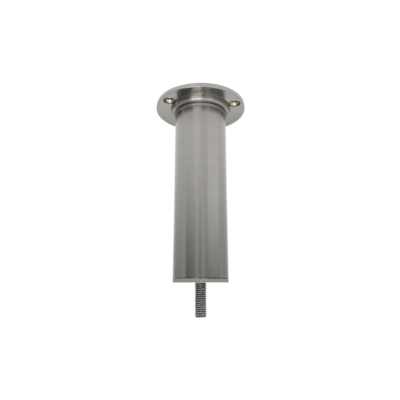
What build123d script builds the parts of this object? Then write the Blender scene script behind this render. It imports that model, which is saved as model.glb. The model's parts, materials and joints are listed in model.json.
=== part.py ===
from build123d import *
from math import radians, tan
import os

# Countertop support leg: a tube closed by a turned plug at each end, with a screw-on flange on top
# and a threaded stud below. Millimetres. The origin is the centre of the bottom plug's lower face,
# which is the leg's base, and +Z points up to the countertop.

# Tube
tube_diameter = 44.45
tube_wall = 1.5
tube_length = 139.7
seam_break = 0.3

# Plugs that close the tube's two ends
lip_thickness = 3.175
lip_edge_break = 0.4
spigot_length = 12.0
spigot_lead_in = 1.0
spigot_clearance = 0.05

# Flange
flange_diameter = 78.6
rim_thickness = 3.8
rim_edge_break = 0.4
boss_diameter = 53.2
boss_height = 3.5
boss_root_break = 0.3
boss_shoulder_radius = 1.8

# Screw holes of the flange, sunk from below
screw_count = 3
screw_circle_diameter = 64.2
screw_hole_diameter = 3.8
screw_sink_diameter = 10.2
screw_sink_angle = 90.0
first_screw_angle = 90.0

# Threaded studs and the tapped holes that hold them. The thread is drawn plain: at its outer diameter
# where it stands free, and at its pitch diameter where it is screwed in
thread_diameter = 9.525
thread_pitch = 1.5875
thread_angle = 60.0
thread_clearance = 0.05
thread_lead_in = 0.6
stud_end_chamfer = 1.0
base_stud_projection = 26.0
base_stud_neck = 0.3
top_stud_recess = 0.6

# Radii and heights that follow
tube_radius = tube_diameter / 2
tube_bore_radius = tube_radius - tube_wall
thread_radius = thread_diameter / 2
sharp_thread_height = thread_pitch / 2 / tan(radians(thread_angle / 2))
screwed_radius = thread_radius - 3 / 8 * sharp_thread_height
tapped_radius = screwed_radius + thread_clearance
plug_depth = lip_thickness + spigot_length
tube_middle = lip_thickness + tube_length / 2
boss_end = lip_thickness + tube_length + lip_thickness
flange_face = boss_end + boss_height
flange_top = flange_face + rim_thickness

os.makedirs("parts", exist_ok=True)


def corner(section, radius, height):
    """The corner of a turned section that lies at a radius and a height."""
    return section.vertices().sort_by_distance((radius, height))[0]


# Tube, faced square, with its outer edges broken where it meets the plugs
with BuildPart() as tube:
    with BuildSketch(Plane.XY.offset(lip_thickness)):
        Circle(tube_radius)
        Circle(tube_bore_radius, mode=Mode.SUBTRACT)
    extrude(amount=tube_length)
    outer_rims = tube.edges().filter_by(GeomType.CIRCLE).group_by(SortBy.RADIUS)[-1]
    chamfer(outer_rims, seam_break)
tube.part.label = "tube"
export_step(tube.part, "parts/tube.step")

# Bottom plug, turned: a lip as wide as the tube, a spigot that fits its bore, a tapped hole through both
with BuildPart() as bottom_plug:
    spigot_radius = tube_bore_radius - spigot_clearance
    with BuildSketch(Plane.XZ) as plug_section:
        with BuildLine():
            Polyline(
                (tapped_radius, 0),
                (tube_radius, 0),
                (tube_radius, lip_thickness),
                (spigot_radius, lip_thickness),
                (spigot_radius, plug_depth),
                (tapped_radius, plug_depth),
                close=True,
            )
        make_face()
        chamfer(corner(plug_section, tube_radius, 0), lip_edge_break)
        chamfer(corner(plug_section, tube_radius, lip_thickness), seam_break)
        chamfer(corner(plug_section, spigot_radius, plug_depth), spigot_lead_in)
        chamfer(corner(plug_section, tapped_radius, 0), thread_lead_in)
    revolve(axis=Axis.Z)
bottom_plug.part.label = "bottom_plug"
export_step(bottom_plug.part, "parts/bottom_plug.step")

# Top plug, the same turning the other way up
with BuildPart() as top_plug:
    mirror(bottom_plug.part, about=Plane.XY.offset(tube_middle))
top_plug.part.label = "top_plug"
export_step(top_plug.part, "parts/top_plug.step")

# Flange, turned: a flat rim with a low rounded boss under it, a tapped centre hole and sunk screw holes
with BuildPart() as flange:
    flange_radius = flange_diameter / 2
    boss_radius = boss_diameter / 2
    with BuildSketch(Plane.XZ) as flange_section:
        with BuildLine():
            Polyline(
                (tapped_radius, boss_end),
                (boss_radius, boss_end),
                (boss_radius, flange_face),
                (flange_radius, flange_face),
                (flange_radius, flange_top),
                (tapped_radius, flange_top),
                close=True,
            )
        make_face()
        fillet(corner(flange_section, boss_radius, boss_end), boss_shoulder_radius)
        chamfer(corner(flange_section, boss_radius, flange_face), boss_root_break)
        chamfer(corner(flange_section, flange_radius, flange_face), rim_edge_break)
        chamfer(corner(flange_section, flange_radius, flange_top), rim_edge_break)
        chamfer(corner(flange_section, tapped_radius, boss_end), thread_lead_in)
        chamfer(corner(flange_section, tapped_radius, flange_top), thread_lead_in)
    revolve(axis=Axis.Z)
    face_looking_down = Plane(origin=(0, 0, flange_face), x_dir=(1, 0, 0), z_dir=(0, 0, -1))
    with Locations(face_looking_down):
        with PolarLocations(screw_circle_diameter / 2, screw_count, start_angle=-first_screw_angle):
            CounterSinkHole(
                radius=screw_hole_diameter / 2,
                counter_sink_radius=screw_sink_diameter / 2,
                depth=rim_thickness,
                counter_sink_angle=screw_sink_angle,
            )
flange.part.label = "flange"
export_step(flange.part, "parts/flange.step")

# Base stud, turned up into the bottom plug until its end is flush with the spigot
with BuildPart() as base_stud:
    with BuildSketch(Plane.XZ) as stud_section:
        with BuildLine():
            Polyline(
                (0, -base_stud_projection),
                (thread_radius, -base_stud_projection),
                (thread_radius, -base_stud_neck),
                (screwed_radius, -base_stud_neck),
                (screwed_radius, plug_depth),
                (0, plug_depth),
                close=True,
            )
        make_face()
        chamfer(corner(stud_section, thread_radius, -base_stud_projection), stud_end_chamfer)
        chamfer(corner(stud_section, screwed_radius, plug_depth), stud_end_chamfer)
    revolve(axis=Axis.Z)
base_stud.part.label = "base_stud"
export_step(base_stud.part, "parts/base_stud.step")

# Top stud, through the flange and the top plug, its upper end just below the flange's top face
with BuildPart() as top_stud:
    with BuildSketch(Plane.XY.offset(boss_end - plug_depth)):
        Circle(screwed_radius)
    extrude(amount=plug_depth + boss_height + rim_thickness - top_stud_recess)
    chamfer(top_stud.edges().filter_by(GeomType.CIRCLE), stud_end_chamfer)
top_stud.part.label = "top_stud"
export_step(top_stud.part, "parts/top_stud.step")
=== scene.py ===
import json
import math
from collections import namedtuple

import bpy
import numpy as np
from bpy.props import FloatProperty, FloatVectorProperty, IntProperty, PointerProperty
from bpy.types import Operator, Panel, PropertyGroup
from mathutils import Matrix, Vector


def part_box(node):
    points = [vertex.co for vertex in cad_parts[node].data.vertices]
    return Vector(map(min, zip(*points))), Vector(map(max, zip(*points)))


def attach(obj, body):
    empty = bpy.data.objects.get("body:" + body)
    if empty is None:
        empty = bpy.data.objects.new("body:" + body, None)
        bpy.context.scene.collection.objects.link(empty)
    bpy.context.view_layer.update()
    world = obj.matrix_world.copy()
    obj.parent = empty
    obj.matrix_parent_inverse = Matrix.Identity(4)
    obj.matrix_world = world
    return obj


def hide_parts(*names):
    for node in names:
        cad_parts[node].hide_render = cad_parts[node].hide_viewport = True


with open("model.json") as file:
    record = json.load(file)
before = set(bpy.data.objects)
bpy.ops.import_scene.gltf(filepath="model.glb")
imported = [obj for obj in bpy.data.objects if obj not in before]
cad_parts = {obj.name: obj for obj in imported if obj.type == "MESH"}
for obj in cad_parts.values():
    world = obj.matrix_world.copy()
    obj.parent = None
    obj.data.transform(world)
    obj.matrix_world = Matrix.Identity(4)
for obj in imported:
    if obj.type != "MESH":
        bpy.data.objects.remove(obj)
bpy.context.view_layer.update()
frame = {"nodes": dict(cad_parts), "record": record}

bl_info = {
    "name": "Countertop support leg",
    "version": (1, 0, 0),
    "blender": (4, 5, 0),
    "location": "View3D > Sidebar > Leg",
    "description": "Builds a brushed nickel countertop leg around its measured solids, with a plain studio",
    "category": "Object",
}

MM = 0.001
BODY = "root"
BRUSHING = "brushing"

# How finely the surfaces are drawn
ROUND = 360
ROUND_STUD = 96
ARC_STEPS = 6
LONGEST_STEP = 6 * MM
SECTOR_SIDE_STEPS = 16
SECTOR_ROWS = 10
WELD = 1e-7

# Which of the flange's finishes a patch has
FACE, SINK, BOSS = range(3)


# Measures taken from the solids

def distances(node):
    """Distances of a solid's mesh points from the leg's axis."""
    mesh = frame["nodes"][node].data
    points = np.empty(len(mesh.vertices) * 3, np.float32)
    mesh.vertices.foreach_get("co", points)
    return np.hypot(points[0::3], points[1::3])


def outer_radius(node):
    """Largest distance of a solid from the leg's axis."""
    return float(distances(node).max())


def bore_radius(node):
    """Smallest distance of a pierced solid from the leg's axis."""
    return float(distances(node).min())


def lower_end(node):
    """Height of a solid's lower end."""
    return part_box(node)[0].z


def upper_end(node):
    """Height of a solid's upper end."""
    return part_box(node)[1].z


def mount_sizes(name):
    """Sizes, in millimetres, that the record states for a mount."""
    return next(m["dims"] for m in frame["record"]["mounts"] if m["name"] == name)


# Settings

def length(name, description, default):
    """A length in metres."""
    return FloatProperty(name=name, description=description, default=default, min=0.0,
                         precision=5, subtype="DISTANCE", unit="LENGTH")


def angle(name, description, degrees):
    """An angle, kept in radians."""
    return FloatProperty(name=name, description=description, default=math.radians(degrees),
                         subtype="ANGLE", unit="ROTATION")


def colour(name, description, default):
    """A linear colour."""
    return FloatVectorProperty(name=name, description=description, default=default, min=0.0, max=1.0,
                               size=3, subtype="COLOR")


class TubeSizes(PropertyGroup):
    """The post between the two plugs."""
    radius: length("Radius", "Outside of the tube", outer_radius("tube"))
    bore: length("Bore", "Inside of the tube", bore_radius("tube"))
    seam_break: length("Seam break", "Bevel on the rims that meet the plugs", 0.3 * MM)
    softening: length("Softening", "Rounding left on each edge by the brushing", 0.06 * MM)


class PlugSizes(PropertyGroup):
    """The two turnings that close the tube."""
    thread_bore: length("Thread bore", "Radius of the tapped hole", bore_radius("bottom_plug"))
    spigot_clearance: length("Spigot clearance", "Gap between spigot and tube", 0.05 * MM)
    spigot_lead_in: length("Spigot lead-in", "Bevel on the spigot's end", 1.0 * MM)
    thread_lead_in: length("Thread lead-in", "Bevel on the mouth of the tapped hole", 0.6 * MM)
    lip_edge: length("Lip edge", "Rounding of the lip's outer edge", 0.4 * MM)


class FlangeSizes(PropertyGroup):
    """The flange that is screwed up under a countertop."""
    radius: length("Radius", "Outside of the rim", outer_radius("flange"))
    rim_thickness: length("Rim thickness", "Height of the flat rim", 3.8 * MM)
    rim_edge: length("Rim edge", "Rounding of the rim's edges", 0.4 * MM)
    boss_radius: length("Boss radius", "Outside of the boss under the rim", 26.6 * MM)
    boss_shoulder: length("Boss shoulder", "Rounding of the boss's lower edge", 1.8 * MM)
    boss_root: length("Boss root", "Hollow where the boss meets the rim", 0.3 * MM)
    thread_bore: length("Thread bore", "Radius of the tapped hole", bore_radius("flange"))
    screw_count: IntProperty(name="Screws", description="Number of screw holes", min=1,
                             default=int(mount_sizes("counter_screws")["count"]))
    screw_circle: length("Screw circle", "Radius of the circle of screw holes",
                         mount_sizes("counter_screws")["pcd_mm"] / 2 * MM)
    screw_hole: length("Screw hole", "Radius of a screw hole",
                       mount_sizes("counter_screws")["hole_r_mm"] * MM)
    sink_radius: length("Sink radius", "Radius of a screw hole's sunk mouth", 5.1 * MM)
    sink_angle: angle("Sink angle", "Full angle of the sunk mouth", 90.0)
    first_screw: angle("First screw", "Direction of the first screw hole from +X", 90.0)


class StudSizes(PropertyGroup):
    """The threaded studs."""
    crest: length("Crest radius", "Outside of the thread", outer_radius("base_stud"))
    screwed: length("Screwed-in radius", "Radius where a stud sits in its tapped hole",
                    outer_radius("top_stud"))
    pitch: length("Pitch", "Height of one turn", 25.4 / 16 * MM)
    flank_angle: angle("Thread angle", "Angle between the flanks", 60.0)
    end_chamfer: length("End chamfer", "Bevel on the stud's ends", 1.0 * MM)
    neck: length("Neck", "Plain stretch just below the plug", 0.3 * MM)


class Finishes(PropertyGroup):
    """Colours of the metals."""
    nickel_light: colour("Nickel, light", "Lighter brush lines of the satin nickel", (0.412, 0.400, 0.377))
    nickel_dark: colour("Nickel, dark", "Darker brush lines of the satin nickel", (0.353, 0.342, 0.320))
    boss_light: colour("Boss, light", "Lighter rings of the boss", (0.50, 0.487, 0.465))
    boss_dark: colour("Boss, dark", "Darker rings of the boss", (0.445, 0.434, 0.412))
    plug_light: colour("Plugs, light", "Lighter rings of the plugs", (0.52, 0.51, 0.485))
    plug_dark: colour("Plugs, dark", "Darker rings of the plugs", (0.46, 0.45, 0.425))
    sink_light: colour("Sink, light", "Lighter cutter rings in the sunk holes", (0.88, 0.80, 0.66))
    sink_dark: colour("Sink, dark", "Darker cutter rings in the sunk holes", (0.58, 0.48, 0.34))
    # The next three colours are painted shade: deep in the screw holes; at the seams, on the tube's last
    # stretch under the flange, at the boss's root and underside and round the sunk mouths; and at the
    # thread's roots
    bore: colour("Bore", "Dark metal deep in the screw holes", (0.10, 0.075, 0.05))
    painted_shade: colour("Joints", "Dulled metal where pieces meet and round the sunk holes", (0.07, 0.066, 0.06))
    groove: colour("Thread grooves", "Dulled metal at the root of the thread", (0.13, 0.135, 0.142))
    stud_light: colour("Stud, light", "Bright plating on the thread", (0.68, 0.70, 0.73))
    stud_dark: colour("Stud, dark", "Dull plating on the thread", (0.56, 0.58, 0.605))


class StudioSettings(PropertyGroup):
    """Camera and floor."""
    lens: FloatProperty(name="Lens", description="Focal length on a 36 mm sensor", default=30.08, min=1.0,
                        subtype="DISTANCE_CAMERA")
    azimuth: angle("Azimuth", "Direction of the camera round the leg, 0 looking along +Y", -5.0)
    distance: length("Distance", "Camera to the leg's axis", 273.3 * MM)
    side_step: length("Side step", "Camera to the left of the axis", 0.51 * MM)
    height: length("Height", "Camera above the leg's base", 0.2 * MM)
    tilt: angle("Tilt", "Camera's upward tilt", 13.83)
    floor_drop: length("Floor drop", "Floor below the leg's base", 0.25)
    floor_colour: colour("Floor", "Pale floor", (0.86, 0.86, 0.86))


class SupportLegSettings(PropertyGroup):
    """Everything that can be set on the leg and its studio."""
    tube: PointerProperty(type=TubeSizes)
    plugs: PointerProperty(type=PlugSizes)
    flange: PointerProperty(type=FlangeSizes)
    studs: PointerProperty(type=StudSizes)
    finishes: PointerProperty(type=Finishes)
    studio: PointerProperty(type=StudioSettings)


# Surfaces

Outline = namedtuple("Outline", "points normals")
Patch = namedtuple("Patch", "points normals uv finish", defaults=(0,))


def outline(corners, closed=False):
    """Section of a turned piece from its corners (radius, height, rounding), with the metal on the left.

    A rounded corner is an arc of that radius tangent to both sides. With n the outward normal, turning
    evenly from the first side's to the second's, it is c + radius * n about the point c that lies the
    radius inside both sides. In a hollow corner c lies the radius outside them, and the arc is
    c - radius * n. Straight runs are then divided so that no step is longer than LONGEST_STEP.
    """
    corners = np.asarray(corners, float)
    places = corners[:, :2]
    sides = np.roll(places, -1, 0) - places
    sides = sides / np.linalg.norm(sides, axis=1, keepdims=True)
    after = np.stack((sides[:, 1], -sides[:, 0]), -1)
    before = np.roll(after, 1, 0)
    if not closed:
        before[0] = after[0]
        after[-1] = before[-1]
    facing = np.sum(before * after, 1)
    bend = np.arctan2(before[:, 0] * after[:, 1] - before[:, 1] * after[:, 0], facing)
    reach = (np.where(bend < 0, -1.0, 1.0) * corners[:, 2])[:, None]
    centres = places - reach * (before + after) / (1 + facing)[:, None]
    start = np.arctan2(before[:, 1], before[:, 0])[:, None]
    direction = start + bend[:, None] * np.linspace(0, 1, ARC_STEPS + 1)
    normals = np.stack((np.cos(direction), np.sin(direction)), -1)
    points = centres[:, None] + reach[:, None] * normals
    points, normals = points.reshape(-1, 2), normals.reshape(-1, 2)
    if closed:
        points = np.vstack((points, points[:1]))
        normals = np.vstack((normals, normals[:1]))
    gaps = np.linalg.norm(np.diff(points, axis=0), axis=1)
    apart = np.append(True, gaps > WELD)
    return divided(points[apart], normals[apart])


def divided(points, normals):
    """An outline with extra points spaced evenly along each run that is longer than LONGEST_STEP."""
    gaps = np.linalg.norm(np.diff(points, axis=0), axis=1)
    parts = np.maximum(1, np.ceil(gaps / LONGEST_STEP)).astype(int)
    first = np.repeat(np.arange(len(gaps)), parts)
    along = (np.arange(parts.sum()) - np.repeat(np.cumsum(parts) - parts, parts)) / np.repeat(parts, parts)

    def filled(values):
        """The values with those of the extra points put in, in even steps along each run."""
        return np.vstack((values[first] + along[:, None] * (values[first + 1] - values[first]), values[-1:]))

    normals = filled(normals)
    return Outline(filled(points), normals / np.linalg.norm(normals, axis=1, keepdims=True))


def full_turn(steps):
    """Angles of one whole turn, the last on the first."""
    return np.linspace(0, 2 * math.pi, steps + 1)


def turned(section, around, centre=(0.0, 0.0), finish=0):
    """Turns a section round an upright line.

    At angle a a section point (r, z) stands at centre + r * (cos a, sin a), height z, and its normal turns
    with it. The finish is laid by the length along the section and by the angle times the largest radius.
    """
    (radius, height), (out, up) = section.points.T[:, :, None], section.normals.T[:, :, None]
    cosine, sine = np.cos(around), np.sin(around)
    x, y = centre[0] + radius * cosine, centre[1] + radius * sine
    points = np.stack(np.broadcast_arrays(x, y, height), -1)
    normals = np.stack(np.broadcast_arrays(out * cosine, out * sine, up), -1)
    steps = np.linalg.norm(np.diff(section.points, axis=0), axis=1)
    along = np.append(0, np.cumsum(steps))[:, None]
    uv = np.stack(np.broadcast_arrays(along, around * radius.max()), -1)
    return Patch(points, normals, uv, finish)


def squares(rows, columns):
    """Corner numbers of a grid's squares, in order round each square."""
    number = np.arange(rows * columns).reshape(rows, columns)
    return np.stack((number[:-1, :-1], number[:-1, 1:], number[1:, 1:], number[1:, :-1]), -1).reshape(-1, 4)


def patch_faces(patch):
    """The patch's squares, wound so that they face the way its normals point."""
    faces = squares(*patch.points.shape[:2])
    first, second, third, fourth = patch.points.reshape(-1, 3)[faces].transpose(1, 0, 2)
    across = np.cross(third - first, fourth - second)
    if np.sum(across * patch.normals.reshape(-1, 3)[faces[:, 0]]) < 0:
        faces = faces[:, ::-1]
    return faces


def make_piece(name, patches, materials, node):
    """Welds patches into one mesh object that stands for a solid and rides with the leg.

    Points that fall together become one, so the patches' shared edges, the seam of a full turn and the
    poles are closed. A square with one side shrunk to a point is a triangle there, and one with no width
    is left out.
    """
    grids = [p.points.shape[:2] for p in patches]
    offsets = np.cumsum([0] + [rows * columns for rows, columns in grids[:-1]])
    points = np.concatenate([p.points.reshape(-1, 3) for p in patches])
    normals = np.concatenate([p.normals.reshape(-1, 3) for p in patches])
    uv = np.concatenate([p.uv.reshape(-1, 2) for p in patches])
    faces = np.concatenate([patch_faces(p) + offset for p, offset in zip(patches, offsets)])
    finish = np.repeat([p.finish for p in patches], [(rows - 1) * (columns - 1) for rows, columns in grids])

    cells = np.round(points / WELD).astype(np.int64)
    _, kept, place = np.unique(cells, axis=0, return_index=True, return_inverse=True)
    place = place.reshape(-1)
    shrunk = place[faces] == np.roll(place[faces], -1, axis=1)
    quads = shrunk.sum(1) == 0
    fans = shrunk.sum(1) == 1
    triangles = faces[fans][~shrunk[fans]].reshape(-1, 3)
    corners = np.concatenate((faces[quads].ravel(), triangles.ravel()))
    finish = np.concatenate((finish[quads], finish[fans])).astype(np.int32)

    mesh = bpy.data.meshes.new(name)
    mesh.from_pydata(points[kept].tolist(), [], place[faces[quads]].tolist() + place[triangles].tolist())
    mesh.polygons.foreach_set("material_index", finish)
    mesh.polygons.foreach_set("use_smooth", np.ones(len(mesh.polygons), bool))
    mesh.uv_layers.new(name=BRUSHING).data.foreach_set("uv", uv[corners].ravel())
    mesh.normals_split_custom_set(normals[corners].tolist())
    for material in materials:
        mesh.materials.append(material)
    piece = bpy.data.objects.new(name, mesh)
    bpy.context.scene.collection.objects.link(piece)
    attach(piece, BODY)
    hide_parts(node)
    return piece


def tube_patches(tube):
    """The tube: its wall's section, with both outer rims bevelled, turned once round."""
    low, high = lower_end("tube"), upper_end("tube")
    inset = tube.radius - tube.seam_break
    soft = tube.softening
    section = outline([
        (tube.bore, low, soft),
        (inset, low, soft),
        (tube.radius, low + tube.seam_break, soft),
        (tube.radius, high - tube.seam_break, soft),
        (inset, high, soft),
        (tube.bore, high, soft),
    ], closed=True)
    return [turned(section, full_turn(ROUND))]


def plug_section(plugs, tube, face, seam, depth):
    """A plug's section from its outer face, past the seam where the tube starts, to the end of its spigot.

    Drawn upwards for the bottom plug; for the top plug the heights fall instead, and the walk is reversed so
    that the metal stays on the left.
    """
    up = math.copysign(1.0, depth - face)
    spigot = tube.bore - plugs.spigot_clearance
    soft = tube.softening
    corners = [
        (plugs.thread_bore + plugs.thread_lead_in, face, soft),
        (tube.radius, face, plugs.lip_edge),
        (tube.radius, seam - up * tube.seam_break, soft),
        (tube.radius - tube.seam_break, seam, soft),
        (spigot, seam, soft),
        (spigot, depth - up * plugs.spigot_lead_in, soft),
        (spigot - plugs.spigot_lead_in, depth, soft),
        (plugs.thread_bore, depth, soft),
        (plugs.thread_bore, face + up * plugs.thread_lead_in, soft),
    ]
    return outline(corners if up > 0 else corners[::-1], closed=True)


def screw_holes(flange):
    """Direction and centre of each screw hole."""
    bearings = flange.first_screw + full_turn(flange.screw_count)[:-1]
    centres = flange.screw_circle * np.stack((np.cos(bearings), np.sin(bearings)), -1)
    return list(zip(bearings, centres.tolist()))


def flange_patches(flange, lead_in, softening):
    """The flange: boss and bore, rim edge, two pierced faces and the sunk holes between them."""
    base, top = lower_end("flange"), upper_end("flange")
    face = top - flange.rim_thickness
    mouth = flange.thread_bore + lead_in
    root = flange.boss_radius + flange.boss_root
    edge = flange.radius - flange.rim_edge
    middle = outline([
        (mouth + lead_in, top, 0),
        (mouth, top, softening),
        (flange.thread_bore, top - lead_in, softening),
        (flange.thread_bore, base + lead_in, softening),
        (mouth, base, softening),
        (flange.boss_radius, base, flange.boss_shoulder),
        (flange.boss_radius, face, flange.boss_root),
        (root, face, 0),
    ])
    rim = outline([
        (edge, face, 0),
        (flange.radius, face, flange.rim_edge),
        (flange.radius, top, flange.rim_edge),
        (edge, top, 0),
    ])
    throat = face + (flange.sink_radius - flange.screw_hole) / math.tan(flange.sink_angle / 2)
    sink = outline([
        (flange.screw_hole, top, 0),
        (flange.screw_hole, throat, softening),
        (flange.sink_radius, face, 0),
    ])
    around = flange.first_screw + full_turn(ROUND)
    patches = [turned(middle, around, finish=BOSS), turned(rim, around, finish=FACE)]
    # Each sink is turned through the walk of its two sectors, so that their edges share points
    walk = hole_walk(flange.screw_count)
    for bearing, centre in screw_holes(flange):
        patches.append(turned(sink, bearing + math.pi / 2 - walk, centre, finish=SINK))
        patches.append(pierced_sector(flange, bearing, face, root, edge, flange.sink_radius, -1.0))
        patches.append(pierced_sector(flange, bearing, top, mouth + lead_in, edge, flange.screw_hole, 1.0))
    return patches


def hole_walk(count):
    """Angles of the walk round a screw hole, from its point nearest the leg's axis."""
    arc_steps = ROUND // (2 * count)
    return np.linspace(-math.pi / 2, 3 * math.pi / 2, 2 * (2 * arc_steps + SECTOR_SIDE_STEPS) + 1)


def pierced_sector(flange, bearing, height, inner, outer, hole, facing):
    """One sector of a flat ring, from radius inner to outer, with a round hole in its middle.

    The sector is unrolled to (angle from the hole, radius). The grid runs there in straight lines from the
    hole's edge, row 0, to the sector's own edge, last row, both walked round from the point nearest the
    axis.
    """
    half_angle = math.pi / flange.screw_count
    arc = np.linspace(0, half_angle, ROUND // (2 * flange.screw_count) + 1)
    side = np.linspace(inner, outer, SECTOR_SIDE_STEPS + 1)
    edge_angle = np.concatenate((arc[:-1], np.full(SECTOR_SIDE_STEPS, half_angle), arc[::-1]))
    edge_radius = np.concatenate((np.full(len(arc) - 1, inner), side[:-1], np.full(len(arc), outer)))
    edge_angle = np.concatenate((edge_angle, -edge_angle[-2::-1]))
    edge_radius = np.concatenate((edge_radius, edge_radius[-2::-1]))
    walk = hole_walk(flange.screw_count)
    sideways, outwards = hole * np.cos(walk), flange.screw_circle + hole * np.sin(walk)
    hole_angle, hole_radius = np.arctan2(sideways, outwards), np.hypot(sideways, outwards)
    rows = np.linspace(0, 1, SECTOR_ROWS + 1)[:, None]
    turn = hole_angle + rows * (edge_angle - hole_angle)
    radius = hole_radius + rows * (edge_radius - hole_radius)
    points = np.stack(np.broadcast_arrays(
        radius * np.cos(bearing + turn), radius * np.sin(bearing + turn), height), -1)
    normals = np.zeros_like(points)
    normals[..., 2] = facing
    return Patch(points, normals, np.stack((radius, turn * flange.screw_circle), -1), FACE)


def thread_patch(low, high, studs):
    """Free stretch of a right-hand thread from its chamfered lower end to the plain neck.

    A section one pitch high, flat at root and crest with straight flanks between, is repeated up the stud,
    and each of its points climbs one pitch in one turn: height = z + pitch * a / (2 pi). The chamfer limits
    the radius at the lower end, and the grooves run out to the neck's radius at the upper end.
    """
    pitch, crest, neck = studs.pitch, studs.crest, studs.screwed
    root_flat, crest_flat = pitch / 4, pitch / 8
    root_rounding, crest_rounding = pitch / 12, pitch / 24
    flank = (pitch - root_flat - crest_flat) / 2
    slope = math.tan(studs.flank_angle / 2)
    root = crest - flank / slope
    turn = outline([
        (root, 0, 0),
        (root, root_flat / 2, root_rounding),
        (crest, root_flat / 2 + flank, crest_rounding),
        (crest, root_flat / 2 + flank + crest_flat, crest_rounding),
        (root, pitch - root_flat / 2, root_rounding),
        (root, pitch, 0),
    ])
    starts = low + pitch * np.arange(-1, math.ceil((high - low) / pitch) + 1)
    count = len(starts)
    radius = np.tile(turn.points[:-1, 0], count)[:, None]
    height = (starts[:, None] + turn.points[:-1, 1]).reshape(-1, 1)
    out, up = (np.tile(n, count)[:, None] for n in turn.normals[:-1].T)

    around = full_turn(ROUND_STUD)
    height = np.clip(height + pitch * around / (2 * math.pi), low, high)
    chamfer = crest - studs.end_chamfer + height - low
    run_out = (high - height) / slope
    limited = np.clip(radius, neck - run_out, np.minimum(neck + run_out, chamfer))
    on_chamfer = limited >= chamfer
    on_neck = ~on_chamfer & (limited != radius)
    diagonal = math.sqrt(0.5)
    out = np.where(on_chamfer, diagonal, np.where(on_neck, 1.0, out))
    up = np.where(on_chamfer, -diagonal, np.where(on_neck, 0.0, up))
    twist = np.where(on_chamfer, 0.0, up * pitch / (2 * math.pi * limited))
    cosine, sine = np.cos(around), np.sin(around)
    points = np.stack((limited * cosine, limited * sine, height), -1)
    normals = np.stack((out * cosine + twist * sine, out * sine - twist * cosine, up), -1)
    normals /= np.linalg.norm(normals, axis=-1, keepdims=True)
    uv = np.stack(np.broadcast_arrays(height, around * crest), -1)
    return Patch(points, normals, uv)


def base_stud_patches(studs, softening):
    """The stud below the leg: end face, thread, and the plain length screwed into the bottom plug."""
    low, high = lower_end("base_stud"), upper_end("base_stud")
    plain = lower_end("bottom_plug") - studs.neck
    around = full_turn(ROUND_STUD)
    end_face = outline([(0, low, 0), (studs.crest - studs.end_chamfer, low, 0)])
    shank = outline([
        (studs.screwed, plain, 0),
        (studs.screwed, high - studs.end_chamfer, softening),
        (studs.screwed - studs.end_chamfer, high, softening),
        (0, high, 0),
    ])
    return [turned(end_face, around), thread_patch(low, plain, studs), turned(shank, around)]


def top_stud_patches(studs, softening):
    """The stud that joins flange and top plug: a round bar at the screwed-in radius with chamfered ends."""
    low, high = lower_end("top_stud"), upper_end("top_stud")
    section = outline([
        (0, low, 0),
        (studs.screwed - studs.end_chamfer, low, softening),
        (studs.screwed, low + studs.end_chamfer, softening),
        (studs.screwed, high - studs.end_chamfer, softening),
        (studs.screwed - studs.end_chamfer, high, softening),
        (0, high, 0),
    ])
    return [turned(section, full_turn(ROUND_STUD))]


# Finishes

# Brush lines: the noise behind them, how much longer and wider the broad ones are than the fine ones, how
# much each kind counts, the parts of the noise's range that the tones and the roughness span, and the
# strength of the relief
NOISE_ROUGHNESS = 0.6
FINE_DETAIL = 6.0
BROAD_DETAIL = 3.0
CLOUD_DETAIL = 2.0
BROAD_LENGTH = 2
BROAD_WIDTH = 8
FINE_SHARE = 0.5
BROAD_SHARE = 0.3
CLOUD_SHARE = 0.2
TONE_SPAN = (0.36, 0.64)
ROUGHNESS_SPAN = (0.35, 0.65)
RELIEF_STRENGTH = 0.08

# Painted shade: the distances between which it fades out, and its strength. In the sunk holes the distances
# are shares of the slant, and in the joints the strength varies with clouds, so many to the metre
JOINT_FADE = (0.2 * MM, 0.55 * MM)
JOINT_CLOUDS = (60.0, 60.0, 60.0)
JOINT_SPAN = (0.35, 0.6)
JOINT_STRENGTH = (0.4, 1.0)
SHELTER_FADE = (0.0, 7 * MM)
SHELTER_STRENGTH = 0.6
ROOT_FADE = (0.2 * MM, 1.1 * MM)
ROOT_STRENGTH = 0.45
UNDERSIDE_START = 0.4 * MM
UNDERSIDE_END = 1.0 * MM
UNDERSIDE_STRENGTH = 0.6
MOUTH_FADE = 0.5 * MM
MOUTH_STRENGTH = 0.8
BORE_FADE = (0.1, 0.3)
SINK_EDGE_FADE = (0.12, 0.4)
SINK_EDGE_STRENGTH = 0.9
GROOVE_START = 0.25 * MM
GROOVE_END = 0.15 * MM

# A Mix node's sockets for colours, which share their names with others
MIX_FIRST = 6
MIX_SECOND = 7
MIX_RESULT = 2

WHITE = (1.0, 1.0, 1.0, 1.0)
TurnedPlace = namedtuple("TurnedPlace", "x y radius height")


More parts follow.
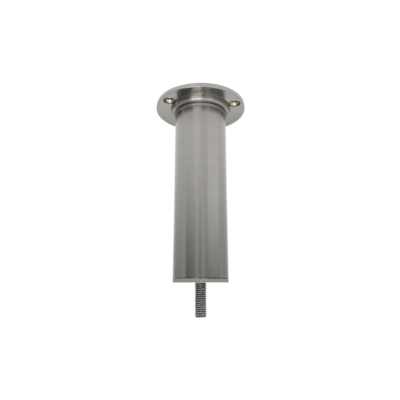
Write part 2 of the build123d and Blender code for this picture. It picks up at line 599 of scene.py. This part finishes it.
class NodeTree:
    """Short ways to add and join the nodes of one material or world."""

    def __init__(self, owner):
        owner.use_nodes = True
        self.tree = owner.node_tree
        self.tree.nodes.clear()

    def add(self, kind, inputs=None, **settings):
        """Adds a node, sets its own settings, and sets or links its inputs by name or number."""
        node = self.tree.nodes.new(kind)
        for key, value in settings.items():
            setattr(node, key, value)
        for key, value in (inputs or {}).items():
            if isinstance(value, bpy.types.NodeSocket):
                self.tree.links.new(value, node.inputs[key])
            else:
                node.inputs[key].default_value = value
        return node

    def calc(self, operation, first, second):
        """The result of a Math node."""
        return self.add("ShaderNodeMath", {0: first, 1: second}, operation=operation).outputs["Value"]

    def split(self, vector):
        """The parts X, Y and Z of a vector."""
        return self.add("ShaderNodeSeparateXYZ", {"Vector": vector}).outputs

    def join(self, x, y, z=0.0):
        """A vector from its parts."""
        return self.add("ShaderNodeCombineXYZ", {"X": x, "Y": y, "Z": z}).outputs["Vector"]

    def nearest(self, place, points):
        """Distance from a place to the nearest of some points."""
        least = None
        for point in points:
            node = self.add("ShaderNodeVectorMath", {0: place, 1: point}, operation="DISTANCE")
            away = node.outputs["Value"]
            least = away if least is None else self.calc("MINIMUM", least, away)
        return least

    def ramp(self, factor, stops):
        """A Color Ramp between two stops (position, colour)."""
        node = self.add("ShaderNodeValToRGB", {"Fac": factor})
        for element, (position, rgb) in zip(node.color_ramp.elements, stops):
            element.position = position
            element.color = (*rgb, 1.0)
        return node.outputs["Color"]

    def spread(self, value, low, high, source=(0.0, 1.0)):
        """Maps a value from the source range to low and high."""
        node = self.add("ShaderNodeMapRange", {"Value": value, "From Min": source[0], "From Max": source[1],
                                               "To Min": low, "To Max": high})
        return node.outputs["Result"]

    def fade(self, value, near, far):
        """1 up to near, falling smoothly to 0 at far."""
        node = self.add("ShaderNodeMapRange", {
            "Value": value,
            "From Min": near,
            "From Max": far,
            "To Min": 1.0,
            "To Max": 0.0,
        }, interpolation_type="SMOOTHSTEP")
        return node.outputs["Result"]

    def lines(self, vector, scale, detail):
        """Noise drawn out into lines by a scale for each axis."""
        mapped = self.add("ShaderNodeMapping", {"Vector": vector, "Scale": scale}).outputs["Vector"]
        noise = self.add("ShaderNodeTexNoise", {"Vector": mapped, "Scale": 1.0, "Detail": detail,
                                                "Roughness": NOISE_ROUGHNESS})
        return noise.outputs["Fac"]


def object_place(nodes):
    """Place on a piece, which is also the place on the leg."""
    return nodes.add("ShaderNodeTexCoord").outputs["Object"]


def turned_place(nodes):
    """Place on the leg as x and y, with the distance from its axis and the height."""
    parts = nodes.split(object_place(nodes))
    level = nodes.join(parts["X"], parts["Y"])
    radius = nodes.add("ShaderNodeVectorMath", {0: level}, operation="LENGTH").outputs["Value"]
    return TurnedPlace(parts["X"], parts["Y"], radius, parts["Z"])


def ring_place(nodes):
    """Place as (x, y, height less radius), which changes fast only across lines brushed round the leg."""
    place = turned_place(nodes)
    return nodes.join(place.x, place.y, nodes.calc("SUBTRACT", place.height, place.radius))


def laid_place(nodes):
    """Place in the piece's own laying of the finish: X runs along the section and Y round it."""
    return nodes.split(nodes.add("ShaderNodeUVMap", uv_map=BRUSHING).outputs["UV"])


def hole_place(nodes):
    """Place as (around, around, along), for holes that have their own axis."""
    place = laid_place(nodes)
    return nodes.join(place["Y"], place["Y"], place["X"])


def joint_shade(nodes):
    """Painted shade, up to 1 in the narrow grooves where the turned pieces meet, 0 away from them."""
    radius = bpy.context.scene.support_leg.tube.radius
    heights = (lower_end("tube"), upper_end("tube"), lower_end("flange"))
    place = turned_place(nodes)
    section = nodes.join(place.radius, place.height)
    away = nodes.nearest(section, [(radius, height, 0.0) for height in heights])
    clouds = nodes.lines(object_place(nodes), JOINT_CLOUDS, CLOUD_DETAIL)
    strength = nodes.spread(clouds, *JOINT_STRENGTH, JOINT_SPAN)
    return nodes.calc("MULTIPLY", nodes.fade(away, *JOINT_FADE), strength)


def sheltered_shade(nodes):
    """Painted shade at the seams, and on the tube's last stretch a weaker one that fades downwards."""
    below = nodes.calc("SUBTRACT", upper_end("tube"), turned_place(nodes).height)
    sheltered = nodes.calc("MULTIPLY", nodes.fade(below, *SHELTER_FADE), SHELTER_STRENGTH)
    return nodes.calc("MAXIMUM", joint_shade(nodes), sheltered)


def boss_shade(nodes):
    """Painted shade at the seams, and a weaker one fading out from the tube and down from the boss's root.
    """
    leg = bpy.context.scene.support_leg
    place = turned_place(nodes)
    face = upper_end("flange") - leg.flange.rim_thickness
    below = nodes.calc("SUBTRACT", face, place.height)
    root = nodes.calc("MULTIPLY", nodes.fade(below, *ROOT_FADE), ROOT_STRENGTH)
    start = leg.tube.radius + UNDERSIDE_START
    end = leg.flange.boss_radius - UNDERSIDE_END
    underside = nodes.calc("MULTIPLY", nodes.fade(place.radius, start, end), UNDERSIDE_STRENGTH)
    return nodes.calc("MAXIMUM", joint_shade(nodes), nodes.calc("MAXIMUM", root, underside))


def mouth_shade(nodes):
    """Painted shade, strong on the flange's lower face at each sunk mouth's edge, 0 a little further out."""
    flange = bpy.context.scene.support_leg.flange
    place = turned_place(nodes)
    centres = [(*centre, 0.0) for _, centre in screw_holes(flange)]
    away = nodes.nearest(nodes.join(place.x, place.y), centres)
    ring = nodes.fade(away, flange.sink_radius, flange.sink_radius + MOUTH_FADE)
    lower = nodes.calc("LESS_THAN", place.height, upper_end("flange") - flange.rim_thickness / 2)
    return nodes.calc("MULTIPLY", nodes.calc("MULTIPLY", ring, lower), MOUTH_STRENGTH)


def sink_shade(nodes):
    """Painted shade, 1 in a screw hole's bore and weaker at its sunk mouth's edge, by length from the top
    face.
    """
    flange = bpy.context.scene.support_leg.flange
    slant = (flange.sink_radius - flange.screw_hole) / math.sin(flange.sink_angle / 2)
    deep = flange.rim_thickness - slant * math.cos(flange.sink_angle / 2)
    along = laid_place(nodes)["X"]
    from_bore = nodes.calc("SUBTRACT", along, deep)
    from_edge = nodes.calc("SUBTRACT", deep + slant, along)
    bore = nodes.fade(from_bore, BORE_FADE[0] * slant, BORE_FADE[1] * slant)
    edge = nodes.fade(from_edge, SINK_EDGE_FADE[0] * slant, SINK_EDGE_FADE[1] * slant)
    return nodes.calc("MAXIMUM", bore, nodes.calc("MULTIPLY", edge, SINK_EDGE_STRENGTH))


def groove_shade(nodes):
    """Painted shade: 1 at the root of a free thread, 0 on its crest."""
    screwed = bpy.context.scene.support_leg.studs.screwed
    return nodes.fade(turned_place(nodes).radius, screwed - GROOVE_START, screwed + GROOVE_END)


def brushed_metal(name, dark, light, roughness, anisotropy, place, across, around, bump, shade_at, shaded,
                  edge=1.0):
    """Metal with fine lines: they vary its colour, its roughness and, slightly, its surface.

    place is a function that gives the coordinates, of which the last changes across the lines. across and
    around are lines per metre across them and along them. The highlight spreads across the lines. shade_at
    is a function that gives 1 where shade is painted into the colour, and shaded is that painted shade's
    colour. edge tints it where it is seen at a low angle.
    """
    material = bpy.data.materials.new(name)
    nodes = NodeTree(material)
    spot = place(nodes)
    long_step = around / BROAD_LENGTH
    fine = nodes.lines(spot, (around, around, across), FINE_DETAIL)
    broad = nodes.lines(spot, (long_step, long_step, across / BROAD_WIDTH), BROAD_DETAIL)
    clouds = nodes.lines(spot, (around, around, around), CLOUD_DETAIL)
    coarse = nodes.calc("ADD", nodes.calc("MULTIPLY", broad, BROAD_SHARE),
                        nodes.calc("MULTIPLY", clouds, CLOUD_SHARE))
    mixed = nodes.calc("ADD", nodes.calc("MULTIPLY", fine, FINE_SHARE), coarse)
    tone = nodes.ramp(mixed, [(TONE_SPAN[0], dark), (TONE_SPAN[1], light)])
    # Painted shade: the tone turns to the shaded colour where shade_at gives 1
    shaded_tone = nodes.add("ShaderNodeMix", {
        "Factor": shade_at(nodes),
        MIX_FIRST: tone,
        MIX_SECOND: (*shaded, 1.0),
    }, data_type="RGBA")
    relief = nodes.add("ShaderNodeBump", {"Height": fine, "Strength": RELIEF_STRENGTH, "Distance": bump})
    tangent = nodes.add("ShaderNodeTangent", direction_type="UV_MAP", uv_map=BRUSHING)
    shader = nodes.add("ShaderNodeBsdfPrincipled", {
        "Base Color": shaded_tone.outputs[MIX_RESULT],
        "Metallic": 1.0,
        "Roughness": nodes.spread(mixed, *roughness, ROUGHNESS_SPAN),
        "Specular Tint": (edge, edge, edge, 1.0),
        "Anisotropic": anisotropy,
        "Tangent": tangent.outputs["Tangent"],
        "Normal": relief.outputs["Normal"],
    })
    nodes.add("ShaderNodeOutputMaterial", {"Surface": shader.outputs["BSDF"]})
    return material


def once(name, make):
    """A material by name, made the first time it is asked for."""
    return bpy.data.materials.get(name) or make(name)


def brushed_nickel(name):
    """Satin nickel of the tube, brushed round it in long fine lines."""
    tones = bpy.context.scene.support_leg.finishes
    return brushed_metal(
        name, tones.nickel_dark, tones.nickel_light, roughness=(0.235, 0.25), anisotropy=0.9,
        place=ring_place, across=1500.0, around=6.0, bump=0.004 * MM,
        # Painted shade at the seams and on the tube's last stretch under the flange
        shade_at=sheltered_shade, shaded=tones.painted_shade)


def turned_nickel(name):
    """Satin nickel of the flange's faces and rim: finer rings, spread less in one direction."""
    tones = bpy.context.scene.support_leg.finishes
    return brushed_metal(
        name, tones.nickel_dark, tones.nickel_light, roughness=(0.19, 0.23), anisotropy=0.6,
        place=ring_place, across=1800.0, around=8.0, bump=0.005 * MM,
        # Painted shade round the mouths of the sunk holes
        shade_at=mouth_shade, shaded=tones.painted_shade)


def buffed_nickel(name):
    """Nickel of the boss, whose rougher turned rings spread the light up and down."""
    tones = bpy.context.scene.support_leg.finishes
    return brushed_metal(
        name, tones.boss_dark, tones.boss_light, roughness=(0.31, 0.35), anisotropy=0.9,
        place=ring_place, across=1800.0, around=8.0, bump=0.005 * MM,
        # Painted shade at the seams, at the boss's root and on its underside near the tube
        shade_at=boss_shade, shaded=tones.painted_shade)


def faced_nickel(name):
    """Satin nickel of the plugs: duller, and brushed less in one direction."""
    tones = bpy.context.scene.support_leg.finishes
    return brushed_metal(
        name, tones.plug_dark, tones.plug_light, roughness=(0.42, 0.5), anisotropy=0.3,
        place=ring_place, across=3600.0, around=20.0, bump=0.005 * MM,
        # Painted shade at the seams
        shade_at=joint_shade, shaded=tones.painted_shade)


def sunk_nickel(name):
    """Warm bare metal of the sunk holes, with the cutter's rings."""
    tones = bpy.context.scene.support_leg.finishes
    return brushed_metal(
        name, tones.sink_dark, tones.sink_light, roughness=(0.22, 0.32), anisotropy=0.5,
        place=hole_place, across=4000.0, around=60.0, bump=0.01 * MM,
        # Painted shade deep in the bore and at the edge of the sunk mouth
        shade_at=sink_shade, shaded=tones.bore)


def plated_steel(name):
    """Dull plated steel of the studs, darker at low angles, with painted shade in the thread's grooves."""
    tones = bpy.context.scene.support_leg.finishes
    return brushed_metal(
        name, tones.stud_dark, tones.stud_light, roughness=(0.4, 0.5), anisotropy=0.2,
        place=ring_place, across=3000.0, around=60.0, bump=0.005 * MM,
        # Painted shade at the thread's roots
        shade_at=groove_shade, shaded=tones.groove, edge=0.35)


# Studio

# The dome that the leg sees: its brightness at eye level and above, and where it stops growing lighter
DOME_DARK = 0.33
DOME_LIGHT = 1.05
DOME_FADE = math.radians(20)

# The floor's rings, and the radii between which it turns white
FLOOR_RADII = (0.001, 0.2, 0.5, 1.0, 2.0, 4.0)
FLOOR_ROUND = 96
FLOOR_FADE = (0.3, 0.5)

# The soft lamp overhead
LAMP_PLACE = (-0.4, -0.3, 1.6)
LAMP_TARGET = (0.0, 0.0, 0.05)
LAMP_SIDE = 1.6
LAMP_BRIGHTNESS = 1.2

# Cards round the leg, seen only in its metal, and a white backdrop. Bearings, in degrees, are from the
# camera's direction. An upright card goes from its foot to its top, two elevations in degrees, and its grey
# level from dark to light. A lying card goes from near to far, and lies a gap above the one before it. A
# level above 1 is a lamp. Each card fades out over some degrees at both ends
CARD_PLACE = "card_place"
CARD_GAP = 1 * MM
NARROW_STEPS = 17
WIDE_STEPS = 33
Upright = namedtuple("Upright", "first last distance foot top dark light fade", defaults=(10,))
Lying = namedtuple("Lying", "first last near far level fade", defaults=(10,))
Backdrop = namedtuple("Backdrop", "first last distance height level fade")
UPRIGHT_CARDS = [
    Upright(25, 88, 0.90, -15, 1, 0.02, 0.04),
    Upright(25, 88, 0.90, 1, 15, 0.04, 1.30),
    Upright(25, 88, 0.90, 15, 27, 1.30, 1.15),
    Upright(122, 238, 0.90, -15, 22, 0.36, 1.15, 56),
    Upright(-68, -14, 0.89, -15, 11, 0.02, 0.06),
    Upright(-14, 8, 0.89, -15, 11, 0.02, 0.04),
    Upright(11, 42, 0.88, -15, 6, 0.02, 0.06),
    Upright(-63, -57, 0.88, -2, 26, 0.0, 1.0),
    Upright(-66, 62, 0.25, -27, -10, 0.02, 0.02),
]
LYING_CARDS = [
    Lying(-185, -22, 0.42, 3.5, 0.16, 70),
    Lying(-170, -20, 0.12, 0.42, 0.50, 60),
    Lying(44, 185, 0.42, 3.5, 0.36, 60),
    Lying(-42, 62, 0.82, 3.5, 0.02),
    Lying(-39, 9, 0.52, 0.78, 10.5),
    Lying(-39, 9, 0.10, 0.52, 1.6),
    Lying(13, 50, 0.56, 0.80, 5.0),
    Lying(124, 236, 0.45, 0.78, 1.06, 44),
    Lying(124, 236, 0.78, 0.89, 0.35, 44),
]
BACKDROP = Backdrop(122, 238, 1.2, 1.2, 1.0, 56)


def stage_sheet(name, points, material):
    """A stage object from one grid of points."""
    mesh = bpy.data.meshes.new(name)
    mesh.from_pydata(points.reshape(-1, 3).tolist(), [], squares(*points.shape[:2]).tolist())
    mesh.materials.append(material)
    sheet = bpy.data.objects.new(name, mesh)
    bpy.context.scene.collection.objects.link(sheet)
    return sheet


def view_direction(bearing):
    """Level direction from the leg, 0 towards -Y and turning towards +X, as the camera's azimuth does."""
    return np.stack((np.sin(bearing), -np.cos(bearing)), -1)


def seen_ray(nodes):
    """1 for rays that show a background: from the camera, in reflections and through glass."""
    path = nodes.add("ShaderNodeLightPath").outputs
    either = nodes.calc("MAXIMUM", path["Is Camera Ray"], path["Is Glossy Ray"])
    return nodes.calc("MAXIMUM", either, path["Is Transmission Ray"])


def floor_material(tint):
    """Pale floor that takes shadows near the leg and turns into the white background further out."""
    material = bpy.data.materials.new("pale_floor")
    nodes = NodeTree(material)
    near = nodes.fade(turned_place(nodes).radius, *FLOOR_FADE)
    faded = nodes.calc("MULTIPLY", nodes.calc("SUBTRACT", 1.0, near), seen_ray(nodes))
    matte = nodes.add("ShaderNodeBsdfDiffuse", {"Color": (*tint, 1.0)}).outputs["BSDF"]
    white = nodes.add("ShaderNodeEmission", {"Color": WHITE, "Strength": 1.0}).outputs["Emission"]
    mixed = nodes.add("ShaderNodeMixShader", {0: faded, 1: matte, 2: white}).outputs["Shader"]
    nodes.add("ShaderNodeOutputMaterial", {"Surface": mixed})
    return material


def studio_world():
    """White to the camera; to the leg a dome that is darker at eye level and light above."""
    world = bpy.data.worlds.new("studio")
    nodes = NodeTree(world)
    direction = nodes.add("ShaderNodeTexCoord").outputs["Generated"]
    dome = nodes.spread(nodes.split(direction)["Z"], DOME_DARK, DOME_LIGHT, (0.0, math.sin(DOME_FADE)))
    camera = nodes.add("ShaderNodeLightPath").outputs["Is Camera Ray"]
    level = nodes.calc("MAXIMUM", dome, camera)
    shade = nodes.add("ShaderNodeBackground", {"Color": WHITE, "Strength": level})
    nodes.add("ShaderNodeOutputWorld", {"Surface": shade.outputs["Background"]})
    bpy.context.scene.world = world


def soft_lamp(name, place, target, width, height, brightness):
    """A rectangular soft lamp, of a brightness where 1 is white, that shines from place to target."""
    lamp = bpy.data.lights.new(name, "AREA")
    lamp.shape = "RECTANGLE"
    lamp.size, lamp.size_y = width, height
    lamp.energy = brightness * math.pi * width * height
    stand = bpy.data.objects.new(name, lamp)
    stand.location = place
    stand.rotation_euler = (Vector(place) - Vector(target)).to_track_quat("Z", "Y").to_euler()
    stand.visible_camera = False
    bpy.context.scene.collection.objects.link(stand)


def card_material(name, levels, soft):
    """A sheet with two grey levels, at its foot and its top, that fades out over a share of its width."""
    material = bpy.data.materials.new(name)
    nodes = NodeTree(material)
    place = nodes.split(nodes.add("ShaderNodeUVMap", uv_map=CARD_PLACE).outputs["UV"])
    from_end = nodes.calc("MINIMUM", place["X"], nodes.calc("SUBTRACT", 1.0, place["X"]))
    gone = nodes.fade(from_end, 0.0, soft)
    level = nodes.spread(place["Y"], *levels)
    glow = nodes.add("ShaderNodeEmission", {"Strength": level}).outputs["Emission"]
    clear = nodes.add("ShaderNodeBsdfTransparent").outputs["BSDF"]
    mixed = nodes.add("ShaderNodeMixShader", {0: gone, 1: glow, 2: clear}).outputs["Shader"]
    nodes.add("ShaderNodeOutputMaterial", {"Surface": mixed})
    return material


def card_ring(card, azimuth, steps):
    """Level directions of the points along a card."""
    return view_direction(azimuth + np.radians(np.linspace(card.first, card.last, steps)))


def upright_points(ring, low, high):
    """A grid that holds a ring of level points at two heights."""
    return np.stack(np.broadcast_arrays(ring[:, 0], ring[:, 1], np.array([[low], [high]])), -1)


def reflection_card(name, points, card, levels):
    """A soft-ended sheet that shows in shiny metal only, from a grid with a row for its foot and its top."""
    soft = min(0.5, card.fade / (card.last - card.first))
    sheet = stage_sheet(name, points, card_material(name, levels, soft))
    rows, columns = points.shape[:2]
    place = np.stack(np.broadcast_arrays(np.linspace(0, 1, columns), np.linspace(0, 1, rows)[:, None]), -1)
    corners = squares(rows, columns).ravel()
    layer = sheet.data.uv_layers.new(name=CARD_PLACE)
    layer.data.foreach_set("uv", place.reshape(-1, 2)[corners].ravel())
    sheet.visible_camera = False
    sheet.visible_diffuse = False
    sheet.visible_shadow = False
    sheet.visible_transmission = False
    return sheet


def reflection_cards(azimuth, floor):
    """The upright cards, each on a circle round the leg, and those that lie just above the floor."""
    for number, card in enumerate(UPRIGHT_CARDS, 1):
        ring = card.distance * card_ring(card, azimuth, NARROW_STEPS)
        low, high = card.distance * np.tan(np.radians([card.foot, card.top]))
        points = upright_points(ring, low, high)
        reflection_card("upright_card_%d" % number, points, card, (card.dark, card.light))
    for number, card in enumerate(LYING_CARDS, 1):
        flat = np.array([card.near, card.far])[:, None, None] * card_ring(card, azimuth, WIDE_STEPS)
        points = np.stack(np.broadcast_arrays(flat[..., 0], flat[..., 1], floor + number * CARD_GAP), -1)
        reflection_card("lying_card_%d" % number, points, card, (card.level, card.level))


def studio_floor(tint, floor):
    """A round floor, as rings of points about the leg's axis."""
    around = full_turn(FLOOR_ROUND)
    radius = np.array(FLOOR_RADII)[:, None]
    points = np.stack(np.broadcast_arrays(radius * np.cos(around), radius * np.sin(around), floor), -1)
    stage_sheet("floor", points, floor_material(tint))


def white_backdrop(azimuth, floor):
    """A white curved sheet behind the leg, as the camera sees it, that fades out at both ends."""
    ring = BACKDROP.distance * card_ring(BACKDROP, azimuth, WIDE_STEPS)
    points = upright_points(ring, floor, BACKDROP.height)
    sheet = reflection_card("backdrop", points, BACKDROP, (BACKDROP.level, BACKDROP.level))
    sheet.visible_camera = True
    sheet.visible_transmission = True


def studio_camera(studio):
    """Camera at the photograph's viewing angle, for a square picture."""
    camera = bpy.data.cameras.new("camera")
    camera.lens = studio.lens
    stand = bpy.data.objects.new("camera", camera)
    back = studio.distance * view_direction(studio.azimuth)
    left = -studio.side_step * np.array((math.cos(studio.azimuth), math.sin(studio.azimuth)))
    stand.location = (*(back + left), studio.height)
    stand.rotation_euler = (math.pi / 2 + studio.tilt, 0.0, studio.azimuth)
    bpy.context.scene.collection.objects.link(stand)
    bpy.context.scene.camera = stand


# Operators

class SUPPORT_LEG_OT_add_tube(Operator):
    """Adds the brushed tube"""
    bl_idname = "support_leg.add_tube"
    bl_label = "Tube"

    def execute(self, context):
        leg = context.scene.support_leg
        make_piece("brushed_tube", tube_patches(leg.tube), [once("brushed_nickel", brushed_nickel)],
                   "tube")
        return {"FINISHED"}


class SUPPORT_LEG_OT_add_plugs(Operator):
    """Adds the two turned plugs that close the tube"""
    bl_idname = "support_leg.add_plugs"
    bl_label = "Plugs"

    def execute(self, context):
        leg = context.scene.support_leg
        ends = {
            "bottom_plug": (lower_end("bottom_plug"), lower_end("tube"), upper_end("bottom_plug")),
            "top_plug": (upper_end("top_plug"), upper_end("tube"), lower_end("top_plug")),
        }
        for node, heights in ends.items():
            section = plug_section(leg.plugs, leg.tube, *heights)
            make_piece("turned_" + node, [turned(section, full_turn(ROUND))],
                       [once("faced_nickel", faced_nickel)], node)
        return {"FINISHED"}


class SUPPORT_LEG_OT_add_flange(Operator):
    """Adds the turned flange with its sunk screw holes"""
    bl_idname = "support_leg.add_flange"
    bl_label = "Flange"

    def execute(self, context):
        leg = context.scene.support_leg
        finishes = [once("turned_nickel", turned_nickel), once("sunk_nickel", sunk_nickel),
                    once("buffed_nickel", buffed_nickel)]
        patches = flange_patches(leg.flange, leg.plugs.thread_lead_in, leg.tube.softening)
        make_piece("turned_flange", patches, finishes, "flange")
        return {"FINISHED"}


class SUPPORT_LEG_OT_add_studs(Operator):
    """Adds the threaded base stud and the hidden top stud"""
    bl_idname = "support_leg.add_studs"
    bl_label = "Studs"

    def execute(self, context):
        leg = context.scene.support_leg
        steel = [once("plated_steel", plated_steel)]
        make_piece("threaded_base_stud", base_stud_patches(leg.studs, leg.tube.softening), steel,
                   "base_stud")
        make_piece("plain_top_stud", top_stud_patches(leg.studs, leg.tube.softening), steel,
                   "top_stud")
        return {"FINISHED"}


class SUPPORT_LEG_OT_set_stage(Operator):
    """Sets the floor, the background, the light and the camera"""
    bl_idname = "support_leg.set_stage"
    bl_label = "Studio"

    def execute(self, context):
        studio = context.scene.support_leg.studio
        floor = -studio.floor_drop
        context.scene.view_settings.view_transform = "Standard"
        studio_world()
        studio_floor(studio.floor_colour, floor)
        white_backdrop(studio.azimuth, floor)
        reflection_cards(studio.azimuth, floor)
        soft_lamp("overhead_lamp", LAMP_PLACE, LAMP_TARGET, LAMP_SIDE, LAMP_SIDE, LAMP_BRIGHTNESS)
        studio_camera(studio)
        return {"FINISHED"}


class VIEW3D_PT_support_leg(Panel):
    """Buttons and sizes of the leg"""
    bl_label = "Support leg"
    bl_idname = "VIEW3D_PT_support_leg"
    bl_space_type = "VIEW_3D"
    bl_region_type = "UI"
    bl_category = "Leg"

    def draw(self, context):
        for operator in OPERATORS:
            self.layout.operator(operator.bl_idname)
        leg = context.scene.support_leg
        for group in SupportLegSettings.__annotations__:
            box = self.layout.box()
            box.label(text=group.capitalize())
            settings = getattr(leg, group)
            for name in settings.__annotations__:
                box.prop(settings, name)


SETTINGS = (TubeSizes, PlugSizes, FlangeSizes, StudSizes, Finishes, StudioSettings, SupportLegSettings)
OPERATORS = (
    SUPPORT_LEG_OT_add_tube,
    SUPPORT_LEG_OT_add_plugs,
    SUPPORT_LEG_OT_add_flange,
    SUPPORT_LEG_OT_add_studs,
    SUPPORT_LEG_OT_set_stage,
)
CLASSES = SETTINGS + OPERATORS + (VIEW3D_PT_support_leg,)


def register():
    """Makes the settings, the operators and the panel known to Blender."""
    for cls in CLASSES:
        bpy.utils.register_class(cls)
    bpy.types.Scene.support_leg = PointerProperty(type=SupportLegSettings)


def unregister():
    """Takes the settings, the operators and the panel away again."""
    del bpy.types.Scene.support_leg
    for cls in reversed(CLASSES):
        bpy.utils.unregister_class(cls)


def main():
    """Builds the leg and its studio."""
    register()
    bpy.ops.support_leg.add_tube()
    bpy.ops.support_leg.add_plugs()
    bpy.ops.support_leg.add_flange()
    bpy.ops.support_leg.add_studs()
    bpy.ops.support_leg.set_stage()


if __name__ == "__main__":
    main()
